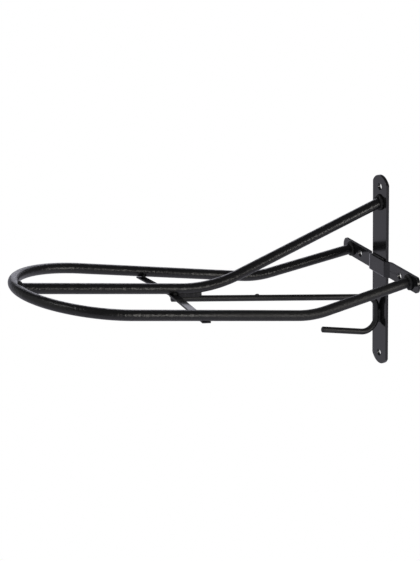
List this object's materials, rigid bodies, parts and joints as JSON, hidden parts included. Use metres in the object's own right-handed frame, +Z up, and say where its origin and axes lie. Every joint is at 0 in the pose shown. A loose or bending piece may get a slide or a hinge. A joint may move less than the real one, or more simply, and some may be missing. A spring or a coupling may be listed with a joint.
{
  "type": "wall-mounted saddle rack",
  "caption": "Wall-mounted welded steel saddle rack: a long tube loop with a centre spine on crossed wall straps, and a bent rod forming a bridle hook below.",
  "frame": {"origin": "on the wall plane, midway between the two holes of the cross strap", "axes": "+Y into the wall, so the nose points along -Y; +Z up; X along the cross strap"},
  "size_m": [0.234, 0.6, 0.3125],
  "materials": {
    "painted_strap": "satin black coating on flat steel bar",
    "painted_tube": "glossy black hammered coating on steel tube",
    "painted_rod": "glossy black hammered coating on steel rod",
    "painted_weld": "glossy black coating over weld beads"
  },
  "bodies": {
    "root": {"brace_and_hook_rod": "painted_rod", "cross_bar": "painted_strap", "cross_strap": "painted_strap", "saddle_loop": "painted_tube", "spine_tube": "painted_tube", "vertical_strap": "painted_strap", "weld_rail_to_bar_left": "painted_weld", "weld_rail_to_bar_right": "painted_weld", "weld_rail_to_strap_left": "painted_weld", "weld_rail_to_strap_right": "painted_weld", "weld_rod_to_bar_left": "painted_weld", "weld_rod_to_bar_right": "painted_weld", "weld_rod_to_spine": "painted_weld", "weld_rod_to_strap_left": "painted_weld", "weld_rod_to_strap_right": "painted_weld", "weld_spine_to_bar_left": "painted_weld", "weld_spine_to_bar_right": "painted_weld", "weld_spine_to_nose": "painted_weld", "weld_spine_to_strap": "painted_weld", "weld_straps_lower": "painted_weld", "weld_straps_upper": "painted_weld"}
  },
  "joints": []
}
